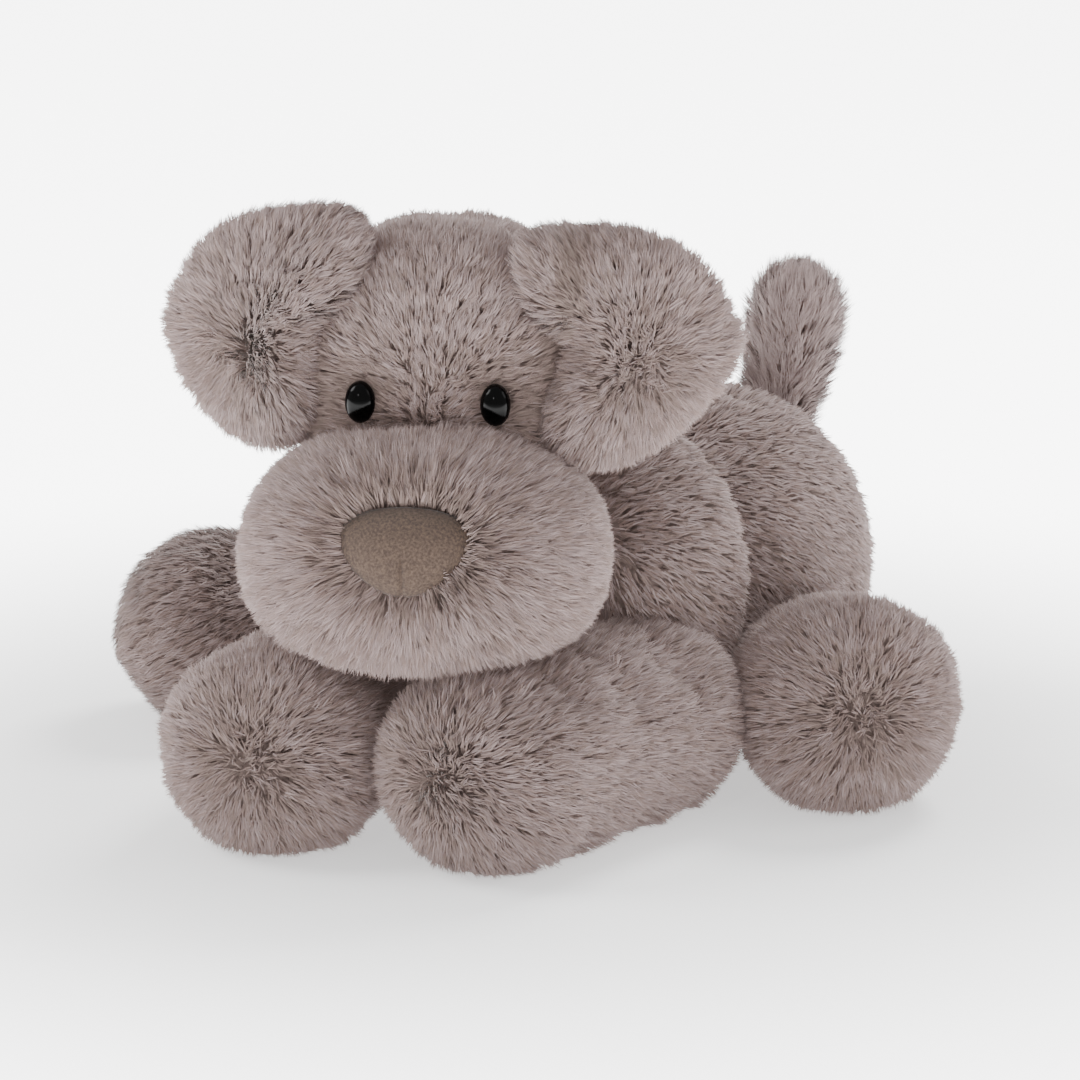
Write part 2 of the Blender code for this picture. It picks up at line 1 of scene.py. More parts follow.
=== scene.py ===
# %% Open the frame
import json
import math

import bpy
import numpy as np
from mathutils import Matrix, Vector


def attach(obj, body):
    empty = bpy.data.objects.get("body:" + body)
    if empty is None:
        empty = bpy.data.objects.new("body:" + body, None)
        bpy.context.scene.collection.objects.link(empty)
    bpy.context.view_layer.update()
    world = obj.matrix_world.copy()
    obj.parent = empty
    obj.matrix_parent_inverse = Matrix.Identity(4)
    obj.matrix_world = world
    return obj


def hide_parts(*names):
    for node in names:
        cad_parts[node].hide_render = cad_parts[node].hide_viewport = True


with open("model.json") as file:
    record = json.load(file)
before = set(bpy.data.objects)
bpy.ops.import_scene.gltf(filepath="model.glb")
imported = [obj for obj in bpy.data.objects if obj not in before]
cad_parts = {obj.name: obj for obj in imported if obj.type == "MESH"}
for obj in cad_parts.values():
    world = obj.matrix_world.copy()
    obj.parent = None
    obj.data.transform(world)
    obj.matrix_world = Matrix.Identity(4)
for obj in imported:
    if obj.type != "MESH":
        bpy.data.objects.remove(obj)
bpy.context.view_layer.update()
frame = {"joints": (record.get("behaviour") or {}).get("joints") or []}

# %% [markdown]
# # A plush dog: skins first, then the pile
#
# The real toy is a set of bags. Each is knitted backing cloth with long acrylic pile on it, sewn shut round
# loose fibre. So this lesson works in the maker's order: draw each bag's shape, stuff it with a short cloth
# simulation, then plant the pile on it, hair by hair, brushed the way each part of the dog is brushed.
# All lengths are in metres. The dog's torso faces -Y, its left is +X, and its head is turned to its left.

SCENE = bpy.context.scene
JOINTS = {joint["name"]: joint for joint in frame["joints"]}

# %% [markdown]
# ## Where things are
#
# The joints already say where each leg, the neck and the tail turn, so every shape is placed from them.
# Two small frames do the rest: the torso's, and the head's, which is turned about the neck.

# %% Places taken from the joints
NECK = np.array(JOINTS["neck_turn"]["pos_m"])
TAIL_ROOT = np.array(JOINTS["tail_wag"]["pos_m"])
HEAD_TURN = math.radians(23.0)
TORSO_ORIGIN = NECK - np.array([-0.019, 0.074, 0.100])
PILE_HEIGHT = 0.005  # from a solid's face to the tips of the brushed pile


def turned(points, angle, axis="Z"):
    """Rotates points about one axis through the origin, by the usual two-line rule."""
    c, s = math.cos(angle), math.sin(angle)
    x, y, z = points[..., 0], points[..., 1], points[..., 2]
    if axis == "Z":
        return np.stack([c * x - s * y, s * x + c * y, z], axis=-1)
    if axis == "Y":
        return np.stack([c * x + s * z, y, c * z - s * x], axis=-1)
    return np.stack([x, c * y - s * z, s * y + c * z], axis=-1)


def from_head(points):
    """From the head's own axes, about the neck's pivot, to the room."""
    return turned(np.asarray(points, float), HEAD_TURN) + NECK


def to_head(points):
    """The way back, from the room to the head's own axes."""
    return turned(np.asarray(points, float) - NECK, -HEAD_TURN)


print("neck at", NECK.round(4), "tail at", TAIL_ROOT.round(4))

# %% [markdown]
# ## Camera, floor and light
#
# They come first, so that every step can be looked at. The dog is seen from its left front, a little from
# above, with a long lens. Large soft lamps give the faint shadows of a product studio: one from above on the
# camera's left, two from behind that light the tips of the pile, and a small one that shows in the eyes.

# %% Camera, floor and lamps
CAMERA_AZIMUTH = math.radians(30.0)
CAMERA_ELEVATION = math.radians(13.0)
CAMERA_HEADING = np.array([math.sin(CAMERA_AZIMUTH), -math.cos(CAMERA_AZIMUTH), 0.0])  # from the dog, level
CAMERA_DISTANCE = 1.54
CAMERA_AIM = np.array([0.0298, -0.0262, 0.098])


def look_at(thing, place, aim):
    thing.location = place
    thing.rotation_euler = (Vector(aim) - Vector(place)).to_track_quat("-Z", "Y").to_euler()


def make_camera():
    lens = bpy.data.cameras.new("studio camera")
    lens.lens = 136.0
    lens.sensor_width = 36.0
    camera = bpy.data.objects.new("studio camera", lens)
    SCENE.collection.objects.link(camera)
    way = math.cos(CAMERA_ELEVATION) * CAMERA_HEADING + (0.0, 0.0, math.sin(CAMERA_ELEVATION))
    look_at(camera, CAMERA_AIM + CAMERA_DISTANCE * way, CAMERA_AIM)
    SCENE.camera = camera


def make_lamp(name, place, aim, size, watts):
    lamp = bpy.data.lights.new(name, "AREA")
    lamp.shape = "DISK"
    lamp.size = size
    lamp.energy = watts
    holder = bpy.data.objects.new(name, lamp)
    SCENE.collection.objects.link(holder)
    look_at(holder, place, aim)


make_camera()
make_lamp("large soft lamp above left", (-1.3, -0.8, 1.4), (0.0, 0.0, 0.08), 1.0, 27.0)
make_lamp("lamp behind on the right", (1.5, 0.7, 1.1), (0.0, 0.0, 0.08), 1.0, 7.0)
make_lamp("lamp behind for the rims", (0.2, 1.3, 1.6), (0.0, 0.05, 0.1), 0.9, 36.0)
make_lamp("small lamp for the catchlights", (0.35, -1.35, 0.75), (0.0, -0.1, 0.12), 0.05, 1.0)
print("camera and four lamps made")

# %% [markdown]
# ## Materials
#
# Acrylic pile is matt and a little velvety. A single hair is one plain colour at its root and a paler one at
# its tip, where brushing has split it, and hairs differ. Five plain colours of pile, dealt out hair by hair,
# give that mix. Only the nose needs a pattern: suede, whose short nap shows as a fine grain.

# %% A material maker and a node maker


def linear(code):
    """An sRGB hex colour as the linear light that shaders use."""
    parts = np.array([int(code[k : k + 2], 16) / 255 for k in (1, 3, 5)])
    light = np.where(parts <= 0.04045, parts / 12.92, ((parts + 0.055) / 1.055) ** 2.4)
    return (*light.tolist(), 1.0)


def plain(name, code, roughness, **sockets):
    """A Principled material whose numbers sit on the shader's own sockets."""
    material = bpy.data.materials.new(name)
    material.use_nodes = True
    shader = material.node_tree.nodes["Principled BSDF"]
    shader.inputs["Base Color"].default_value = linear(code)
    shader.inputs["Roughness"].default_value = roughness
    for socket, value in sockets.items():
        shader.inputs[socket.replace("_", " ")].default_value = value
    return material


def node(material, kind, settings=(), inputs=(), links=()):
    """Adds one node with its settings and input values, and links (my output, other node, its input)."""
    made = material.node_tree.nodes.new(kind)
    for name, value in dict(settings).items():
        setattr(made, name, value)
    for name, value in dict(inputs).items():
        made.inputs[name].default_value = value
    for output, other, socket in links:
        material.node_tree.links.new(made.outputs[output], other.inputs[socket])
    return made


# %% The pile's colours and the other finishes


def pile(name, code):
    """Matt, with a velvety sheen, and a little of its own colour given off.

    A real fibre passes on light that falls on its far side. An opaque ribbon can't, so this stands for it.
    """
    sheen = {"Sheen_Weight": 0.25, "Sheen_Roughness": 0.45}
    glow = {"Emission_Color": linear(code), "Emission_Strength": 0.10}
    return plain("acrylic pile, " + name, code, 0.85, **sheen, **glow)


PILE = {
    "root": pile("shaded root", "#75655F"),
    "warm": pile("warm grey", "#8B7771"),
    "cool": pile("cool grey", "#8E7D7A"),
    "pale": pile("split pale tip", "#A08E8B"),
    "brown": pile("brown guard hair", "#7A6962"),
}
PILE_ORDER = ("root", "warm", "cool", "pale", "brown")
# Knitted backing cloth, which is seen only down in the pile, so it is the roots' colour and dead matt.
BACKING = plain("knitted backing cloth", "#75655F", 1.0)
# Moulded black plastic with a polished face: near black, and sharp small reflections.
EYE_PLASTIC = plain("polished black plastic", "#020202", 0.12, IOR=1.2)


def make_suede():
    """Brushed microfibre suede. Its nap turns in patches of about 1 mm, which shows as fine pale grains."""
    material = plain("brushed suede", "#4E3E36", 0.9, Sheen_Weight=0.25, Sheen_Roughness=0.4)
    shader = material.node_tree.nodes["Principled BSDF"]
    ramp = node(material, "ShaderNodeValToRGB", links=[("Color", shader, "Base Color")])
    ramp.color_ramp.elements[0].position = 0.36
    ramp.color_ramp.elements[0].color = linear("#392C25")
    ramp.color_ramp.elements[1].position = 0.68
    ramp.color_ramp.elements[1].color = linear("#5C4B3F")
    nap = {"Strength": 0.35, "Distance": 0.0004}
    bump = node(material, "ShaderNodeBump", inputs=nap, links=[("Normal", shader, "Normal")])
    fine = {"Scale": 1100.0, "Detail": 3.0, "Roughness": 0.6}
    both = [("Fac", ramp, "Fac"), ("Fac", bump, "Height")]
    grain = node(material, "ShaderNodeTexNoise", inputs=fine, links=both)
    node(material, "ShaderNodeTexCoord", links=[("Object", grain, "Vector")])
    return material


SUEDE = make_suede()
print(len(bpy.data.materials), "materials")

# %% [markdown]
# ## A table lit from beneath
#
# Products on pure white often stand on a sheet of white acrylic with lamps under it. Its light also runs up
# the edge of the pile from behind, which makes the rim of every bag pale. Here the sheet is one large square
# whose glow grows with distance from the dog, so that the dog's faint shadow stays. It falls off again far
# away, where a room's wall would begin, and between the dog and the camera, where it would flatten the face.

# %% Floor and sky


def make_acrylic():
    """White acrylic whose glow is a product of smooth ramps, in metres, out from the dog and ahead of it."""
    acrylic = plain("white acrylic, lit from beneath", "#F4F4F4", 0.9, Emission_Color=(1.0, 1.0, 1.0, 1.0))
    shader = acrylic.node_tree.nodes["Principled BSDF"]
    soft = {"interpolation_type": "SMOOTHSTEP"}
    product = {"operation": "MULTIPLY"}
    glow = node(acrylic, "ShaderNodeMath", product, links=[("Value", shader, "Emission Strength")])
    rise = {"From Min": 0.16, "From Max": 0.56, "To Min": 0.8}
    ring = node(acrylic, "ShaderNodeMapRange", soft, rise, [("Result", glow, 0)])
    wane = {"From Min": 3.2, "From Max": 7.0, "To Min": 6.0, "To Max": 0.2}
    edge = node(acrylic, "ShaderNodeMapRange", soft, wane, [("Result", ring, "To Max")])
    both = [("Value", ring, "Value"), ("Value", edge, "Value")]
    far = node(acrylic, "ShaderNodeVectorMath", {"operation": "LENGTH"}, links=both)
    forwards = {"From Min": 0.65, "From Max": 1.1, "To Min": 1.0, "To Max": 0.1}
    front = node(acrylic, "ShaderNodeMapRange", soft, forwards, [("Result", glow, 1)])
    along = {"operation": "DOT_PRODUCT"}
    ahead = node(acrylic, "ShaderNodeVectorMath", along, {1: CAMERA_HEADING}, [("Value", front, "Value")])
    node(acrylic, "ShaderNodeTexCoord", links=[("Object", far, "Vector"), ("Object", ahead, "Vector")])
    return acrylic


def make_floor(half=8.0):
    """One large square that the camera never sees the end of."""
    corners = [(-half, -half, 0), (half, -half, 0), (half, half, 0), (-half, half, 0)]
    mesh = bpy.data.meshes.new("studio floor")
    mesh.from_pydata(corners, [], [(0, 1, 2, 3)])
    floor = bpy.data.objects.new("studio floor", mesh)
    floor.data.materials.append(make_acrylic())
    SCENE.collection.objects.link(floor)


def make_sky():
    """Even white from every side, as from the walls of a small studio."""
    world = bpy.data.worlds.new("studio white")
    world.use_nodes = True
    sky = world.node_tree.nodes["Background"]
    sky.inputs["Color"].default_value = (1.0, 1.0, 1.0, 1.0)
    sky.inputs["Strength"].default_value = 0.75
    SCENE.world = world


make_floor()
make_sky()
print("floor and sky made")

# %% [markdown]
# ## The bags' shapes
#
# Every bag is a closed surface over two parameters: one runs from pole to pole, one runs round. The poles
# are single points, closed by fans of triangles. A superellipsoid, |x/a|^p + |y/b|^p + |z/c|^p = 1, is a
# ball whose power p, when over 2, fills its corners as packed fibre does.

# %% Closed surfaces on a grid


def closed_mesh(name, rings, first, last):
    """Joins rings of equal length with quads, closes both ends with fans, and turns the faces outwards.

    The volume inside is a sixth of the sum, over the triangles, of a . (b x c). If it comes out negative,
    the faces point inwards.
    """
    count, sides = rings.shape[:2]
    points = np.vstack([rings.reshape(-1, 3), first, last])
    index = np.arange(count * sides).reshape(count, sides)
    ahead = np.roll(index, -1, axis=1)
    quads = np.stack([index[:-1], index[1:], ahead[1:], ahead[:-1]], axis=-1).reshape(-1, 4)
    near = np.stack([np.full(sides, len(points) - 2), index[0], ahead[0]], axis=-1)
    far = np.stack([np.full(sides, len(points) - 1), ahead[-1], index[-1]], axis=-1)
    triangles = np.vstack([quads[:, [0, 1, 2]], quads[:, [0, 2, 3]], near, far])
    a, b, c = (points[triangles[:, k]] for k in range(3))
    if np.einsum("ij,ij->", a - points[-1], np.cross(b - points[-1], c - points[-1])) < 0:
        quads, near, far = quads[:, ::-1], near[:, ::-1], far[:, ::-1]
    mesh = bpy.data.meshes.new(name)
    mesh.from_pydata(points.tolist(), [], quads.tolist() + near.tolist() + far.tolist())
    mesh.shade_smooth()
    return mesh


def grid(rows, sides):
    """Pole-to-pole angle s, without the poles, and the angle v round, ready to be broadcast together."""
    s = np.linspace(0.0, math.pi, rows + 1)[1:-1, None]
    v = np.linspace(0.0, 2 * math.pi, sides, endpoint=False)[None, :]
    return s, v


def superellipsoid(radii, power, rows=30, sides=44):
    """Rings round Y from the front pole to the back one, and those two poles."""
    s, v = grid(rows, sides)
    unit = np.stack([np.sin(s) * np.cos(v), -np.cos(s) + 0 * v, np.sin(s) * np.sin(v)], axis=-1)
    unit /= (np.abs(unit) ** power).sum(axis=-1, keepdims=True) ** (1 / power)
    pole = np.array([0.0, radii[1], 0.0])
    return unit * np.array(radii), -pole, pole


def moved(surface, change):
    """The same surface with change(points) applied to its rings and its poles."""
    return tuple(change(np.asarray(part, float)) for part in surface)


print("a test ball has", superellipsoid((1, 1, 1), 2.0)[0].shape, "points")

# %% [markdown]
# ## Skull and muzzle
#
# The head is two balls sewn together at the stop, the step between the brow and the muzzle. The muzzle is
# wide and low, and its chin sags between the front paws, so its underside is drawn flatter than its top.

# %% Skull and muzzle
SKULL_MIDDLE = np.array([-0.0015, -0.030, 0.067])
SKULL_RADII = np.array([0.0500, 0.0475, 0.0555])
SKULL_POWER = 2.7
MUZZLE_MIDDLE = np.array([-0.003, -0.074, 0.008])
MUZZLE_RADII = np.array([0.0640, 0.0520, 0.0455])
MUZZLE_POWER = 2.2
CHIN_SAG = 0.0045
STUFFING_SWELL = 0.003  # how far the filling pushes the cloth out
EYE_SPREAD = 0.0245
EYE_RISE = -0.0036  # from the skull's middle


def skull_surface():
    """The crown is narrower than the cheeks, and a hollow 4 mm deep is pulled in round each eye."""

    def hollow(x, z, side):
        return np.exp(-(((x - side * EYE_SPREAD) / 0.011) ** 2) - ((z - EYE_RISE) / 0.013) ** 2)

    def shape(points):
        narrow = 1 - 0.15 * np.clip((points[..., 2] + 0.012) / 0.055, 0, 1) ** 1.5
        x, z = points[..., 0] * narrow, points[..., 2]
        pulled = hollow(x, z, 1) + hollow(x, z, -1)
        y = points[..., 1] + 0.004 * pulled * (points[..., 1] < -0.01)
        return from_head(np.stack([x, y, z], axis=-1) + SKULL_MIDDLE)

    return moved(superellipsoid(SKULL_RADII - STUFFING_SWELL, SKULL_POWER), shape)


def muzzle_surface():
    """Flat-bottomed by a soft floor, z = floor + log(1 + exp(k (z - floor))) / k, sagging in the middle."""

    def shape(points):
        sharp = 260.0
        floor = -0.030 - CHIN_SAG * np.exp(-((points[..., 0] + 0.004) / 0.022) ** 2)
        z = floor + np.log1p(np.exp(sharp * (points[..., 2] - floor))) / sharp
        lifted = np.stack([points[..., 0], points[..., 1], z], axis=-1)
        return from_head(lifted + MUZZLE_MIDDLE)

    return moved(superellipsoid(MUZZLE_RADII - STUFFING_SWELL, MUZZLE_POWER), shape)


print("half sizes, in mm: muzzle", (1000 * MUZZLE_RADII).round(1), "skull", (1000 * SKULL_RADII).round(1))

# %% [markdown]
# ## Torso
#
# The torso is drawn as a tailor would: half width, underside and back at a few stations, joined smoothly.
# A tuck in the cloth divides the shoulders from the rump, and the torso sways to the dog's left behind.

# %% Torso
# Distance from the chest, half width, underside, back and sway at each station.
TORSO_STATIONS = np.array([
    (0.068, 0.004, 0.090, 0.096, 0.000),
    (0.076, 0.040, 0.062, 0.112, 0.000),
    (0.092, 0.062, 0.022, 0.123, 0.001),
    (0.116, 0.071, 0.004, 0.130, 0.002),
    (0.150, 0.069, 0.001, 0.136, 0.003),
    (0.192, 0.071, 0.001, 0.138, 0.005),
    (0.230, 0.064, 0.003, 0.128, 0.008),
    (0.254, 0.044, 0.020, 0.104, 0.010),
    (0.266, 0.004, 0.058, 0.066, 0.011),
])
TUCK_DEPTH = 0.008
TUCK_WIDTH = 0.011


def smoothly(where, knots, values):
    """A curve through the knots whose slope at each is that of the line between its neighbours."""
    slope = np.gradient(values, knots)
    k = np.clip(np.searchsorted(knots, where) - 1, 0, len(knots) - 2)
    step = knots[k + 1] - knots[k]
    t = (where - knots[k]) / step
    rise = (2 * t**3 - 3 * t**2 + 1) * values[k] + (3 * t**2 - 2 * t**3) * values[k + 1]
    return rise + step * ((t**3 - 2 * t**2 + t) * slope[k] + (t**3 - t**2) * slope[k + 1])


def tuck_line(z):
    """Where the tuck runs along the dog at each height: it leans back towards the spine."""
    return 0.133 + 0.26 * (z - 0.04)


def torso_surface(rows=44, sides=52):
    """Rings a little squarer than an ellipse: across = w |cos v|^q, up = h |sin v|^q, signs kept, q < 1."""
    s, v = grid(rows, sides)
    knots = TORSO_STATIONS[:, 0]
    along = knots[0] + (1 - np.cos(s)) / 2 * (knots[-1] - knots[0]) + 0 * v
    half, under, back, sway = (smoothly(along, knots, TORSO_STATIONS[:, k]) for k in (1, 2, 3, 4))
    side = np.sign(np.cos(v)) * np.abs(np.cos(v)) ** 0.9
    rise = np.sign(np.sin(v)) * np.abs(np.sin(v)) ** 0.9
    up = (under + back) / 2 + rise * (back - under - 2 * STUFFING_SWELL) / 2
    tuck = TUCK_DEPTH * np.exp(-(((along - tuck_line(up)) / TUCK_WIDTH) ** 2))
    across = sway + side * (half - STUFFING_SWELL - tuck)
    up = np.maximum(up - tuck * np.maximum(rise, 0) * 0.8, 0.003)
    rings = np.stack([across, along, up], axis=-1)
    ends = [np.array([row[4], row[0], (row[2] + row[3]) / 2]) for row in TORSO_STATIONS[[0, -1]]]
    return moved((rings, *ends), lambda points: points + TORSO_ORIGIN)


print("the torso runs", round(1000 * np.ptp(TORSO_STATIONS[:, 0])), "mm from chest to rump")

# %% [markdown]
# ## Legs
#
# A leg is a log with two round ends. Its outline is walked by arc length: a quarter circle at the hip, a
# straight, then a quarter circle round the paw. It is thinner at the hip, where less fibre was pushed in.

# %% Legs
# Reach, degrees of heading to the dog's left, the hip's share of the paw's girth, half width and half height.
LEGS = {
    "front_left": (0.086, -7.0, 1.00, 0.0400, 0.0375),
    "front_right": (0.086, 14.0, 0.92, 0.0405, 0.0375),
    "hind_left": (0.059, 36.0, 0.80, 0.0405, 0.0405),
    "hind_right": (0.097, -52.0, 0.85, 0.0405, 0.0400),
}


def leg_place(leg, points):
    """From a leg's own axes, its line along -Y from the hip, to the room."""
    hip = np.array(JOINTS[leg + "_splay"]["pos_m"]) * (1, 1, 0)
    return turned(points, math.radians(LEGS[leg][1])) + hip


def leg_surface(leg, rows=40, sides=40):
    """Girth and distance along the log for each step of arc, then a ring round it at each."""
    reach, _, hip, wide, high = LEGS[leg]
    half = wide - STUFFING_SWELL
    s, v = grid(rows, sides)
    arc = s / math.pi * (math.pi * half + reach)
    first = np.clip(arc / half, 0, math.pi / 2)
    straight = np.clip(arc - math.pi / 2 * half, 0, reach)
    second = np.clip((arc - math.pi / 2 * half - reach) / half, 0, math.pi / 2)
    girth = np.sin(first) * np.cos(second)
    along = half * np.cos(first) - straight - half * np.sin(second)
    share = hip + (1 - hip) * np.clip(straight / reach, 0, 1) ** 0.8
    across = half * share * girth * np.cos(v)
    tall = (high - STUFFING_SWELL) * share
    up = np.maximum(tall + tall * girth * np.sin(v), 0.0025)
    rings = np.stack([across, along + 0 * v, up], axis=-1)
    hip_end = np.array([0.0, half, tall[0, 0]])
    paw_end = np.array([0.0, -reach - half, tall[-1, 0]])
    return moved((rings, hip_end, paw_end), lambda points: leg_place(leg, points))


print("legs, in mm from end to end:", {leg: round(1000 * (row[0] + 2 * row[3])) for leg, row in LEGS.items()})

# %% [markdown]
# ## Ears and tail
#
# An ear is two flaps sewn round their edge, which hang from the side of the crown. Its pattern is a polar
# outline: a radius at each angle, joined smoothly round. Its thickness falls to nothing at the edge. The left
# ear has a fold pressed into its front, near the seam.

# %% Ears and tail
EAR_MIDDLE = np.array([0.0695, -0.016, 0.014])  # from the skull's middle, for the left ear
EAR_FACING = math.radians(20.0)  # turned so that its inner edge lies over the skull
EAR_PATTERN = np.array([  # angle from outwards towards up, and radius in mm to the pile's tips
    (-180, 34), (-150, 36), (-126, 45), (-105, 49), (-80, 45), (-50, 39), (-25, 37), (0, 37.5),
    (28, 35), (60, 38), (95, 44), (118, 53), (135, 63), (152, 53), (166, 41), (180, 34),
])
EAR_HALF_THICKNESS = 0.0130
EAR_FOLD = 0.027  # inwards of the ear's middle
# Side, the way this ear has slipped (out, back, up), how its lower lobe slants inwards, and its fold's depth.
EARS = {
    "left": (1.0, (0.0060, 0.0, 0.0), 0.32, 0.0065),
    "right": (-1.0, (-0.0010, 0.0, 0.0050), 0.0, 0.0),
}


def ear_place(ear, points):
    """From the ear's own axes, X outwards and Z up, to the room, a little draped over the skull.

    Where the flap passes over the skull it comes forwards by D (1 - (x/a)^2 - (z/c)^2). The right ear is the
    left one's mirror image, made by the side, 1 or -1.
    """
    side, slip, slant, _ = EARS[ear]
    inwards = slant * np.minimum(points[..., 2], 0)
    slanted = np.stack([points[..., 0] + inwards, points[..., 1], points[..., 2]], axis=-1)
    leaned = turned(slanted, EAR_FACING) + EAR_MIDDLE + slip
    over = np.clip(1 - (leaned[..., 0] / 0.070) ** 2 - (leaned[..., 2] / 0.075) ** 2, 0, 1)
    draped = leaned - np.stack([0 * over, 0.018 * over, 0 * over], axis=-1)
    return from_head(SKULL_MIDDLE + draped * (side, 1, 1))


def ear_surface(ear, rows=30, sides=72):
    """Radius R(v) sin(s)^0.6 from the middle, and depth T cos(s): a lens with the pattern's outline."""
    s, v = grid(rows, sides)
    degrees = np.degrees((v + math.pi) % (2 * math.pi) - math.pi)
    outline = smoothly(degrees, EAR_PATTERN[:, 0], EAR_PATTERN[:, 1]) / 1000
    radius = outline - PILE_HEIGHT - STUFFING_SWELL * 0.5
    spread = np.sin(s) ** 0.6
    x, z = radius * spread * np.cos(v), radius * spread * np.sin(v)
    fold = EARS[ear][3] * np.exp(-(((x + EAR_FOLD) / 0.0045) ** 2)) * np.clip((z + 0.004) / 0.006, 0, 1)
    depth = (fold * (np.cos(s) > 0) - EAR_HALF_THICKNESS * np.cos(s)) + 1.2 * (radius * spread) ** 2
    rings = np.stack([x, depth, z], axis=-1)
    poles = np.array([0, -EAR_HALF_THICKNESS, 0]), np.array([0, EAR_HALF_THICKNESS, 0])
    return moved((rings, *poles), lambda points: ear_place(ear, points))


TAIL_LENGTH = 0.066
TAIL_LEAN_BACK = math.radians(10.0)
TAIL_LEAN_LEFT = math.radians(6.0)
TAIL_BURIED = 0.0095  # how far its root runs into the rump


def tail_surface(rows=30, sides=28):
    """A stem round Z whose girth grows along it as t^1.2 and closes with a round end."""
    s, v = grid(rows, sides)
    t = (1 - np.cos(s)) / 2
    girth = (0.0080 + 0.0095 * t**1.2) * np.sin(s) ** 0.5
    along = -TAIL_BURIED + (TAIL_LENGTH + 0.008) * t
    rings = np.stack([girth * np.cos(v), 0.9 * girth * np.sin(v), along + 0 * v], axis=-1)
    ends = np.array([0, 0, -TAIL_BURIED]), np.array([0, 0, TAIL_LENGTH - 0.0015])

    def leaned(points):
        return turned(turned(points, -TAIL_LEAN_BACK, "X"), TAIL_LEAN_LEFT, "Y") + TAIL_ROOT

    return moved((rings, *ends), leaned)


def neck_surface():
    """The neck is a small ball, hidden between the skull and the shoulders, that the head turns on."""
    return moved(superellipsoid((0.029, 0.029, 0.029), 2.0, 16, 24), lambda points: points + NECK)


print("an ear's pattern has", len(EAR_PATTERN), "points; the tail is", round(1000 * TAIL_LENGTH), "mm long")

# %% [markdown]
# ## Stuffing the bags
#
# Each bag is remeshed into even cloth and blown up a little from inside, as fibre does to it. Its seams
# hold: thread is stiffer than knitted cloth, so points near a seam are pinned and a shallow valley forms
# along it. No point may travel further than a few millimetres, which keeps every bag to its pattern.

# %% Bags and their seams
BAGS = {}


def near(value, width=0.004):
    """Full hold on the seam, none beyond its width."""
    return np.clip(1.5 - np.abs(value) / width, 0.0, 1.0)


def leg_seam(leg):
    """Seams run along both sides of a leg, low down, and over the paw."""

    def seam(points):
        hip = np.array(JOINTS[leg + "_splay"]["pos_m"]) * (1, 1, 0)
        own = turned(points - hip, -math.radians(LEGS[leg][1]))
        return np.maximum(near(own[..., 2] - 0.016), near(own[..., 0]) * (own[..., 2] > 0.045))

    return seam


def torso_seam(points):
    """Along the spine, and round the tuck."""
    own = points - TORSO_ORIGIN
    spine = near(own[..., 0] - 0.004) * (own[..., 2] > 0.09)
    return np.maximum(spine, near(own[..., 1] - tuck_line(own[..., 2])))


def head_seam(points):
    """Down the middle of the head, held a little less than the others."""
    return near(to_head(points)[..., 0] + 0.002) * 0.8


def no_seam(points):
    """Nothing held: the bag is small and its seams lie under the pile."""
    return np.zeros(points.shape[:-1])


def bag(name, surface, seam, body, *solids):
    """Remeshes a surface into even cloth and notes its seam, its body and the solids it stands for."""
    obj = bpy.data.objects.new(name, closed_mesh(name, *surface))
    SCENE.collection.objects.link(obj)
    even = obj.modifiers.new("even cloth", "REMESH")
    even.mode = "VOXEL"
    even.voxel_size = 0.0045
    graph = bpy.context.evaluated_depsgraph_get()
    obj.data = bpy.data.meshes.new_from_object(obj.evaluated_get(graph))
    obj.modifiers.clear()
    obj.data.materials.clear()
    obj.data.materials.append(BACKING)
    BAGS[name] = (obj, seam, body, solids)


bag("skull_skin", skull_surface(), head_seam, "head", "head_cover", "head_stuffing")
bag("muzzle_skin", muzzle_surface(), head_seam, "head", "muzzle_cover", "muzzle_stuffing")
bag("torso_skin", torso_surface(), torso_seam, "torso", "torso_cover", "torso_stuffing", "belly_beans")
bag("neck_skin", neck_surface(), no_seam, "neck", "neck_cover", "neck_stuffing")
bag("tail_skin", tail_surface(), no_seam, "tail", "tail_cover", "tail_stuffing")
for ear in EARS:
    solids = (ear + "_ear_cover", ear + "_ear_wadding")
    bag(ear + "_ear_skin", ear_surface(ear), no_seam, ear + "_ear", *solids)
for leg in LEGS:
    solids = [f"{leg}_leg_{part}" for part in ("cover", "stuffing", "paw_beans")]
    bag(leg + "_leg_skin", leg_surface(leg), leg_seam(leg), leg + "_leg", *solids)
print(len(BAGS), "bags,", sum(len(item[0].data.vertices) for item in BAGS.values()), "points of cloth")

# %% Blow them up


def coordinates(mesh):
    """A mesh's points as an array, one row each."""
    flat = np.empty(len(mesh.vertices) * 3, np.float32)
    mesh.vertices.foreach_get("co", flat)
    return flat.reshape(-1, 3).astype(float)


def add_cloth(obj, seam):
    """Knitted cloth under pressure, pinned at the seams, with no weight of its own."""
    held = obj.vertex_groups.new(name="seam")
    weights = seam(coordinates(obj.data)).round(1)
    for weight in np.unique(weights[weights > 0]):
        held.add(np.flatnonzero(weights == weight).tolist(), float(weight), "REPLACE")
    cloth = obj.modifiers.new("stuffing", "CLOTH")
    cloth.settings.quality = 5
    cloth.settings.mass = 0.2
    cloth.settings.tension_stiffness = 12.0
    cloth.settings.compression_stiffness = 12.0
    cloth.settings.bending_stiffness = 0.4
    cloth.settings.use_pressure = True
    cloth.settings.uniform_pressure_force = 4.0
    cloth.settings.shrink_min = -0.04
    cloth.settings.effector_weights.gravity = 0.0
    cloth.settings.vertex_group_mass = "seam"
    cloth.point_cache.frame_end = 20


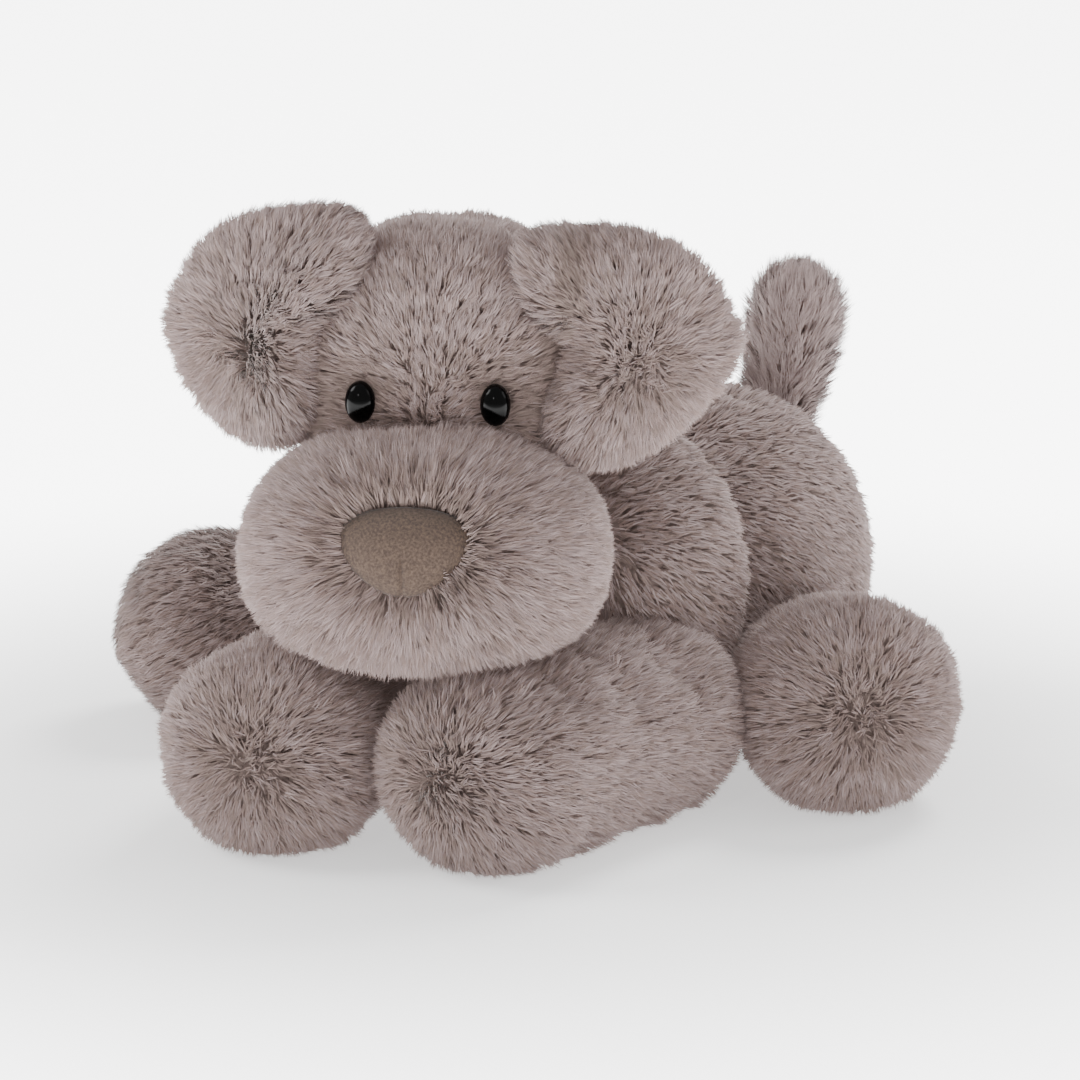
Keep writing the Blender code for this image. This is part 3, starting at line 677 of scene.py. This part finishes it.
def stuff_bags():
    """Steps every cloth together, keeps each point's travel short, and lets none sink through the floor."""
    before = {name: coordinates(item[0].data) for name, item in BAGS.items()}
    for obj, seam, _, _ in BAGS.values():
        add_cloth(obj, seam)
    for moment in range(1, 21):
        SCENE.frame_set(moment)
    graph = bpy.context.evaluated_depsgraph_get()
    for name, (obj, _, _, _) in BAGS.items():
        blown = coordinates(obj.evaluated_get(graph).data) if obj.modifiers else before[name]
        obj.modifiers.clear()
        obj.vertex_groups.clear()
        travel = blown - before[name]
        far = np.linalg.norm(travel, axis=1, keepdims=True)
        limited = before[name] + travel * np.minimum(1.0, STUFFING_SWELL * 1.3 / np.maximum(far, 1e-9))
        limited[:, 2] = np.maximum(limited[:, 2], 0.0015)
        obj.data.vertices.foreach_set("co", limited.astype(np.float32).ravel())
        obj.data.update()
        obj.data.shade_smooth()
        print(f"{name}: the cloth moved {1000 * far.mean():.1f} mm on average")
    SCENE.frame_set(1)


stuff_bags()

# %% Finish the skins
for obj, _, body, solids in BAGS.values():
    finer = obj.modifiers.new("finer cloth", "SUBSURF")
    finer.levels = 1
    finer.render_levels = 1
    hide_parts(*solids)
    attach(obj, body)
print("skins finished")

# %% [markdown]
# ## Planting the pile
#
# A hair is a flat ribbon with two joints: a pair of points at its root, a pair half way, and one at its
# tip, so it costs one quad and one triangle. Roots are scattered evenly over the cloth. A flow function
# gives each hair the way it was brushed, as a vector whose length says how flat it lies: 0 stands up and 1
# lies down. Real pile gathers into locks, so hairs that share a small cell lean, shine and end together.

# %% Scatter roots over a skin


def skin_arrays(obj):
    """Corner points and corner normals of the finished skin's triangles."""
    graph = bpy.context.evaluated_depsgraph_get()
    mesh = obj.evaluated_get(graph).data
    mesh.calc_loop_triangles()
    corners = np.empty(len(mesh.loop_triangles) * 3, np.int32)
    mesh.loop_triangles.foreach_get("vertices", corners)
    normals = np.empty(len(mesh.vertices) * 3, np.float32)
    mesh.vertex_normals.foreach_get("vector", normals)
    corners = corners.reshape(-1, 3)
    return coordinates(mesh)[corners], normals.reshape(-1, 3).astype(float)[corners]


def scattered(obj, per_mm2, rng):
    """Points spread evenly by area. In a triangle, (1 - sqrt a, sqrt a (1 - b), b sqrt a) is even too."""
    corners, normals = skin_arrays(obj)
    area = np.linalg.norm(np.cross(corners[:, 1] - corners[:, 0], corners[:, 2] - corners[:, 0]), axis=1) / 2
    count = int(area.sum() * 1e6 * per_mm2)
    pick = np.searchsorted(np.cumsum(area) / area.sum(), rng.random(count))
    a, b = np.sqrt(rng.random(count)), rng.random(count)
    share = np.stack([1 - a, a * (1 - b), a * b], axis=-1)[:, :, None]
    roots = (corners[pick] * share).sum(axis=1)
    up = unit((normals[pick] * share).sum(axis=1))
    return roots, up


def unit(vectors):
    """Each vector at length 1, safe for one of no length."""
    return vectors / np.maximum(np.linalg.norm(vectors, axis=-1, keepdims=True), 1e-9)


sample = scattered(BAGS["neck_skin"][0], 0.1, np.random.default_rng(1))[0]
print("one root in every 10 square mm puts", len(sample), "roots on the neck")

# %% Hairs from roots


def hair_mesh(name, points, normals, slots):
    """points is hairs x 5 x 3: two at the root, two half way, one tip. slots is hairs x 2 material slots."""
    hairs = len(points)
    corner = np.array([0, 1, 3, 2, 2, 3, 4])
    loops = (np.arange(hairs)[:, None] * 5 + corner).ravel()
    starts = (np.arange(hairs)[:, None] * 7 + np.array([0, 4])).ravel()
    mesh = bpy.data.meshes.new(name)
    mesh.vertices.add(hairs * 5)
    mesh.loops.add(hairs * 7)
    mesh.polygons.add(hairs * 2)
    mesh.vertices.foreach_set("co", points.astype(np.float32).ravel())
    mesh.loops.foreach_set("vertex_index", loops.astype(np.int32))
    mesh.polygons.foreach_set("loop_start", starts.astype(np.int32))
    mesh.polygons.foreach_set("material_index", slots.astype(np.int32).ravel())
    for slot in PILE_ORDER:
        mesh.materials.append(PILE[slot])
    mesh.update(calc_edges=True)
    mesh.shade_smooth()
    mesh.normals_split_custom_set_from_vertices(normals.reshape(-1, 3).tolist())
    return mesh


def lock_of(roots, size, rng):
    """The cell that each root falls in, on a grid bent by slow waves so that no straight rows show."""
    bend = size * 0.45 * np.sin(roots[:, [1, 2, 0]] * (2.1 / size) + rng.random(3) * 6)
    cell = np.floor((roots + bend) / size).astype(np.int64)
    key = (cell * (73856093, 19349663, 83492791)).sum(axis=1)
    return np.unique(key, return_inverse=True)[1].reshape(-1)


def mean_in(lock, values):
    """Each lock's mean of values, one column at a time, handed back to its hairs."""
    count = np.bincount(lock)
    columns = [np.bincount(lock, weights=values[:, k]) / count for k in range(values.shape[1])]
    return np.stack(columns, axis=-1)[lock]


LOCK_SIZE = 0.0028
LOCK_GATHER = 0.3  # how far the tips of a lock are drawn together, where 1 makes them meet
HAIR_HALF_WIDTH = 0.00024


def nowhere(roots):
    """No bald place."""
    return np.zeros(len(roots), bool)


def unshaded(roots):
    """No painted shade: no place browner than another."""
    return np.zeros(len(roots))


def plant(
    skin, body, flow, length, per_mm2, seed, bald=nowhere, shade=unshaded, half_width=HAIR_HALF_WIDTH, own=1.0
):
    """Makes one skin's coat.

    flow(roots) is the brushing, length(roots) each hair's length in metres, bald(roots) where nothing grows,
    and shade(roots) how much browner the mix is, mostly painted shade; below 0 it is paler, painted light.
    own is how far each ribbon is lit as the flat thing it is, and not as the cloth below it.
    """
    rng = np.random.default_rng(seed)
    roots, up = scattered(BAGS[skin][0], per_mm2, rng)
    keep = ~bald(roots)
    roots, up = roots[keep], up[keep]
    hairs = len(roots)
    lock = lock_of(roots, LOCK_SIZE, rng)
    locks = lock.max() + 1
    brushed = flow(roots)
    flat = np.clip(np.linalg.norm(brushed, axis=1, keepdims=True), 0.0, 0.97)
    along = unit(brushed - (brushed * up).sum(axis=1, keepdims=True) * up)
    along = along + rng.normal(0, 0.20, (locks, 3))[lock] + rng.normal(0, 0.18, (hairs, 3))
    along = unit(along - (along * up).sum(axis=1, keepdims=True) * up)
    lean = flat * (1 + rng.normal(0, 0.06, (locks, 1))[lock]) + rng.normal(0, 0.04, (hairs, 1))
    lean = np.clip(lean, 0.05, 0.98)
    low = unit(up * np.sqrt(1 - (0.62 * lean) ** 2) + along * 0.62 * lean)
    high = unit(up * np.sqrt(1 - lean**2) + along * lean + (0, 0, -0.08))
    size = length(roots)[:, None] * rng.uniform(0.80, 1.10, (hairs, 1))
    size = size * rng.uniform(0.92, 1.08, (locks, 1))[lock]
    middle = roots + low * size * 0.45
    tip = middle + high * size * 0.55
    tip = tip + LOCK_GATHER * (mean_in(lock, tip) - tip)
    middle = middle + 0.3 * LOCK_GATHER * (mean_in(lock, middle) - middle)
    roll = rng.normal(0, 0.25, (hairs, 1))
    side = unit(np.cross(low, up))
    side = side * np.cos(roll) + np.cross(low, side) * np.sin(roll)
    wide = half_width * rng.uniform(0.8, 1.25, (hairs, 1))
    start = roots - up * 0.0004
    across = side * wide
    points = np.stack([start - across, start + across, middle - across, middle + across, tip], axis=1)
    points[..., 2] = np.maximum(points[..., 2], 0.0006)
    soft = 0.5 * up + rng.normal(0, 0.10, (locks, 3))[lock] + rng.normal(0, 0.06, (hairs, 3))
    root_normal = unit(soft + own * unit(np.cross(side, low)))
    tip_normal = unit(soft + own * unit(np.cross(side, high)))
    shading = np.stack([root_normal, root_normal, root_normal, root_normal, tip_normal], axis=1)
    tone = 0.4 * rng.random(locks)[lock] + 0.6 * rng.random(hairs) - shade(roots)
    tip_slot = np.select([tone < 0.20, tone < 0.42, tone < 0.66], [4, 1, 2], 3)
    root_slot = np.where(tone < 0.55, 0, 1)
    slots = np.stack([root_slot, tip_slot], axis=-1)
    name = skin.replace("skin", "pile")
    coat = bpy.data.objects.new(name, hair_mesh(name, points, shading, slots))
    SCENE.collection.objects.link(coat)
    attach(coat, body)
    print(f"{name}: {hairs} hairs in {locks} locks")


# %% [markdown]
# ## Brushing each part
#
# Pile is brushed away from one place on each part: from the nose over the muzzle, from the stop up over the
# brow, from the end of each paw back along the leg, and from the middle of each ear to its edge. At that
# place, the whorl, the hairs stand up and the dark roots show. The tail is brushed to its tip, the torso back
# and down, and the hind right leg towards its paw.

# %% Flows


def away_from(source, calm, flattest=0.86):
    """Vectors that point away from a place, and that lie down gradually over the distance calm.

    Each lock leaves from its own spot within a few millimetres, so the middle closes over instead of parting.
    """

    def flow(points):
        wander = 0.007 * np.sin(points[:, [1, 2, 0]] * 2600.0)
        wander = wander + 0.005 * np.sin(points[:, [2, 0, 1]] * 1100.0 + 1.0)
        offset = points - source + wander
        far = np.linalg.norm(offset, axis=-1, keepdims=True)
        lie = flattest * (1 - 0.25 * np.exp(-((far / calm) ** 2)))
        return unit(offset) * lie

    return flow


def along_way(way, flattest):
    """One way for the whole coat."""
    return lambda points: unit(np.array(way, float))[None, :] * flattest * np.ones((len(points), 1))


def even(length):
    """One length for the whole coat."""
    return lambda points: np.full(len(points), length)


def muzzle_front(x, z, height):
    """A point of the muzzle's front face over (x, z), in the head's axes, lifted by a height."""
    dx, dz = x - MUZZLE_MIDDLE[0], z - MUZZLE_MIDDLE[2]
    share = 1 - np.abs(dx / MUZZLE_RADII[0]) ** MUZZLE_POWER - np.abs(dz / MUZZLE_RADII[2]) ** MUZZLE_POWER
    ahead = MUZZLE_RADII[1] * np.maximum(share, 0.0) ** (1 / MUZZLE_POWER) + height
    return np.stack([x + 0 * z, MUZZLE_MIDDLE[1] - ahead, z + 0 * x], axis=-1)


# %% [markdown]
# ## Nose
#
# The nose is a little cushion of suede: a triangle with round corners, wide above, laid on the muzzle's
# front. A seam closes its lower half. Its outline starts from an ellipse, whose upper half is widened and
# whose lower half is narrowed.

# %% Nose
NOSE_X, NOSE_Z = -0.003, 0.0200
NOSE_HALF_WIDTH = 0.0232
NOSE_HALF_HEIGHT = 0.0152
NOSE_CROWN = 0.0072
NOSE_LIFT = 0.0002
NOSE_BACK = -0.001


def nose_outline(v, share):
    """x = w cos v (1 + 0.19 sin v) and z = h (sin v + 0.06 cos 2v), drawn in by a share of its size."""
    x = share * NOSE_HALF_WIDTH * np.cos(v) * (1 + 0.19 * np.sin(v))
    return x, share * NOSE_HALF_HEIGHT * (np.sin(v) + 0.06 * np.cos(2 * v))


def nose_surface(rows=48, sides=160):
    """Front: a dome of height crown (1 - share^2.6)^0.5, grooved along the seam. Back: flat, in the pile."""
    s, v = grid(rows, sides)
    share = np.sin(s) ** 0.6 + 0 * v
    x, z = nose_outline(v, share)
    dome = NOSE_LIFT + NOSE_CROWN * np.sqrt(np.clip(1 - share**2.6, 0, 1))
    groove = 0.0011 * np.exp(-((x / 0.0009) ** 2)) * np.clip(0.4 - z / 0.005, 0, 1)
    height = np.where(np.cos(s) + 0 * v > 0, dome - groove, NOSE_BACK)
    rings = muzzle_front(NOSE_X + x, NOSE_Z + z, height)
    front = muzzle_front(np.array(NOSE_X), np.array(NOSE_Z), NOSE_LIFT + NOSE_CROWN)
    back = muzzle_front(np.array(NOSE_X), np.array(NOSE_Z), NOSE_BACK)
    return moved((rings, front, back), from_head)


nose = bpy.data.objects.new("suede_nose", closed_mesh("suede_nose", *nose_surface()))
nose.data.materials.append(SUEDE)
SCENE.collection.objects.link(nose)
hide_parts("nose_patch", "nose_padding")
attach(nose, "head")
print("nose made of", len(nose.data.vertices), "points")

# %% [markdown]
# ## Eyes
#
# Each eye is an oval bead of black plastic, pulled into the pile by its shank so that it sits in a hollow.

# %% Eyes
EYE_RADII = (0.0055, 0.0050, 0.0077)


def eye_middle(side):
    """On the skull's front face, a little proud of the cloth."""
    share = 1 - (EYE_SPREAD / SKULL_RADII[0]) ** SKULL_POWER - (abs(EYE_RISE) / SKULL_RADII[2]) ** SKULL_POWER
    ahead = SKULL_RADII[1] * share ** (1 / SKULL_POWER) + 0.0020
    return SKULL_MIDDLE + np.array([side * EYE_SPREAD, -ahead, EYE_RISE])


for name, side in (("left", 1.0), ("right", -1.0)):
    bead = moved(superellipsoid(EYE_RADII, 2.0, 32, 40), lambda points: from_head(points + eye_middle(side)))
    eye = bpy.data.objects.new(name + "_eye_bead", closed_mesh(name + "_eye_bead", *bead))
    eye.data.materials.append(EYE_PLASTIC)
    SCENE.collection.objects.link(eye)
    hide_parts(name + "_eye")
    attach(eye, "head")
print("eyes made")

# %% [markdown]
# ## The coat of the head
#
# Where two coats meet, only the outer one is planted: hairs inside the other ball would cost much and show
# nothing. The suede and the eyes stay clear of hair too. A few places are painted browner, as painted shade:
# the hollows beside the eyes, under the ears, round the nose and in the left ear's fold. At each whorl the
# parted pile shows its browner roots, and painted shade darkens it further.

# %% Where nothing grows on the head
NOSE_PLACE = from_head(muzzle_front(np.array(NOSE_X), np.array(NOSE_Z), 0.0))
STOP_PLACE = from_head(np.array([-0.002, -0.088, 0.050]))


def inside_muzzle(points, margin):
    """Deeper than a margin inside the muzzle's superellipsoid."""
    own = (to_head(points) - MUZZLE_MIDDLE) / (MUZZLE_RADII - margin)
    return (np.abs(own) ** MUZZLE_POWER).sum(axis=-1) < 1


def inside_skull(points, margin):
    """Deeper than a margin inside the skull's superellipsoid."""
    own = (to_head(points) - SKULL_MIDDLE) / (SKULL_RADII - margin)
    return (np.abs(own) ** SKULL_POWER).sum(axis=-1) < 1


def on_nose(points):
    """Within the nose's outline, on the muzzle's front."""
    own = to_head(points)
    x, z = own[..., 0] - NOSE_X, own[..., 2] - NOSE_Z
    v = np.arctan2(z / NOSE_HALF_HEIGHT, x / NOSE_HALF_WIDTH)
    edge_x, edge_z = nose_outline(v, 0.84)
    return (own[..., 1] < -0.09) & (x**2 + z**2 < edge_x**2 + edge_z**2)


def near_eye(points, reach=0.0045):
    """Where a hair would cover a bead: its own ellipsoid, a little wider, and a reach deeper."""
    own = to_head(points)
    found = np.zeros(len(own), bool)
    for side in (1.0, -1.0):
        offset = (own - eye_middle(side)) / (np.array(EYE_RADII) + (reach * 0.25, reach, reach * 0.25))
        found |= (offset**2).sum(axis=-1) < 1
    return found


print("whorls of the head, in m:", NOSE_PLACE.round(3), STOP_PLACE.round(3))

# %% Where the pile is browner: painted shade, and the roots at the whorls


def skull_shade(points):
    """Painted shade, browner, in the hollows round the eyes and where the ears lie over the skull's sides."""
    own = to_head(points)
    far = np.stack([np.linalg.norm(own - eye_middle(side), axis=-1) for side in (1.0, -1.0)]).min(axis=0)
    beside_ears = np.clip((np.abs(own[..., 0] + 0.0015) - 0.030) / 0.008, 0, 1)
    return 0.8 * np.exp(-((far / 0.014) ** 2)) + 0.5 * beside_ears


def whorl_shade(whorl, reach):
    """Browner hair at a whorl: the parted pile's own roots show there, and painted shade darkens it further.
    """
    return lambda points: 0.28 * np.exp(-((np.linalg.norm(points - whorl, axis=-1) / reach) ** 2))


def ear_whorl(ear):
    """In front of the middle of an ear, a little low and inwards."""
    return ear_place(ear, np.array([-0.003, -EAR_HALF_THICKNESS - 0.004, -0.006]))


def ear_whorl_shade(ear):
    return whorl_shade(ear_whorl(ear), 0.018)


def fold_shade(points):
    """Painted shade: the dark line in the crease of the left ear's fold."""
    along = np.linspace(-0.004, 0.036, 12)
    line = ear_place("left", np.stack([-EAR_FOLD + 0 * along, -0.009 + 0 * along, along], axis=-1))
    far = np.linalg.norm(points[:, None, :] - line[None, :, :], axis=-1).min(axis=1)
    return 0.6 * np.exp(-((far / 0.0055) ** 2))


print("whorls of the ears, in m:", [ear_whorl(ear).round(3).tolist() for ear in EARS])

# %% How the muzzle is brushed


def nose_distance(points):
    """1 on the nose's outline, 2 at twice its size."""
    own = to_head(points)
    return np.hypot((own[..., 0] - NOSE_X) / NOSE_HALF_WIDTH, (own[..., 2] - NOSE_Z) / NOSE_HALF_HEIGHT)


def muzzle_flow(points):
    """Away from the nose. Round its edge the hairs stand up and close over the rim of the suede."""
    lie = 0.88 * (1 - 0.45 * np.exp(-(((nose_distance(points) - 1) / 0.35) ** 2)))
    return away_from(NOSE_PLACE, 0.001, 1.0)(points) * lie[:, None]


def nose_shade(points):
    """Painted shade, browner, round the rim of the suede where the pile closes over it, on the muzzle's front
    only.
    """
    return 0.35 * np.exp(-(((nose_distance(points) - 1) / 0.3) ** 2)) * (to_head(points)[..., 1] < -0.09)


def muzzle_length(points):
    """Long by the nose, and shorter towards the muzzle's back."""
    far = np.linalg.norm(points - NOSE_PLACE, axis=-1)
    return np.interp(far, [0.018, 0.030, 0.050, 0.085], [0.0110, 0.0130, 0.0095, 0.0080])


def muzzle_bald(points):
    """Under the suede, and inside the skull."""
    return on_nose(points) | inside_skull(points, 0.004)


def skull_bald(points):
    """Round the eyes, and inside the muzzle."""
    return near_eye(points) | inside_muzzle(points, 0.004)


# %% Plant the muzzle and the skull
plant("muzzle_skin", "head", muzzle_flow, muzzle_length, 2.25, 11, muzzle_bald, nose_shade)
brow_flow = away_from(STOP_PLACE, 0.012, 0.90)
plant("skull_skin", "head", brow_flow, even(0.0085), 2.05, 12, skull_bald, skull_shade, own=0.6)

# %% [markdown]
# ## The other coats
#
# Hairs are dealt by how closely each part is looked at. The ears and the tail stand against the light, so
# they get most. The torso and the hind right leg lie further off and get fewer and wider hairs.

# %% Plant the legs
for number, leg in enumerate(LEGS):
    reach, _, _, wide, high = LEGS[leg]
    whorl = leg_place(leg, np.array([0.0, -reach - wide, high + 0.003]))
    density = 1.2 if leg == "hind_right" else 1.6
    flow = away_from(whorl, 0.016, 0.88)
    if leg == "hind_right":  # this one was brushed towards its paw
        hip = leg_place(leg, np.array([0.0, 0.02, 0.10]))
        flow = along_way(whorl - hip, 0.90)
    coat = {"shade": whorl_shade(whorl, 0.022), "half_width": 0.00028}
    plant(leg + "_leg_skin", leg + "_leg", flow, even(0.0090), density, 21 + number, **coat)

# %% Plant the ears


def left_ear_shade(roots):
    """The left ear's browner whorl, partly painted shade, and the painted shade in its fold."""
    return ear_whorl_shade("left")(roots) + fold_shade(roots)


for number, ear in enumerate(EARS):
    flow = away_from(ear_whorl(ear), 0.014, 0.88)
    shade = left_ear_shade if ear == "left" else ear_whorl_shade(ear)
    plant(ear + "_ear_skin", ear + "_ear", flow, even(0.0095), 2.9, 31 + number, shade=shade)

# %% Plant the tail, the neck and the torso


def tail_shade(roots):
    """Paler than the rest, because light comes through it from behind."""
    return np.full(len(roots), -0.3)


to_tip = along_way((0.1, 0.1, 1.0), 0.86)
down_neck = along_way((0.0, 0.3, -1.0), 0.6)
back_and_down = along_way((0.0, 0.75, -0.55), 0.92)
plant("tail_skin", "tail", to_tip, even(0.0130), 2.6, 41, shade=tail_shade, own=0.2)
plant("neck_skin", "neck", down_neck, even(0.0080), 0.6, 42)
plant("torso_skin", "torso", back_and_down, even(0.0085), 0.74, 43, half_width=0.00040)
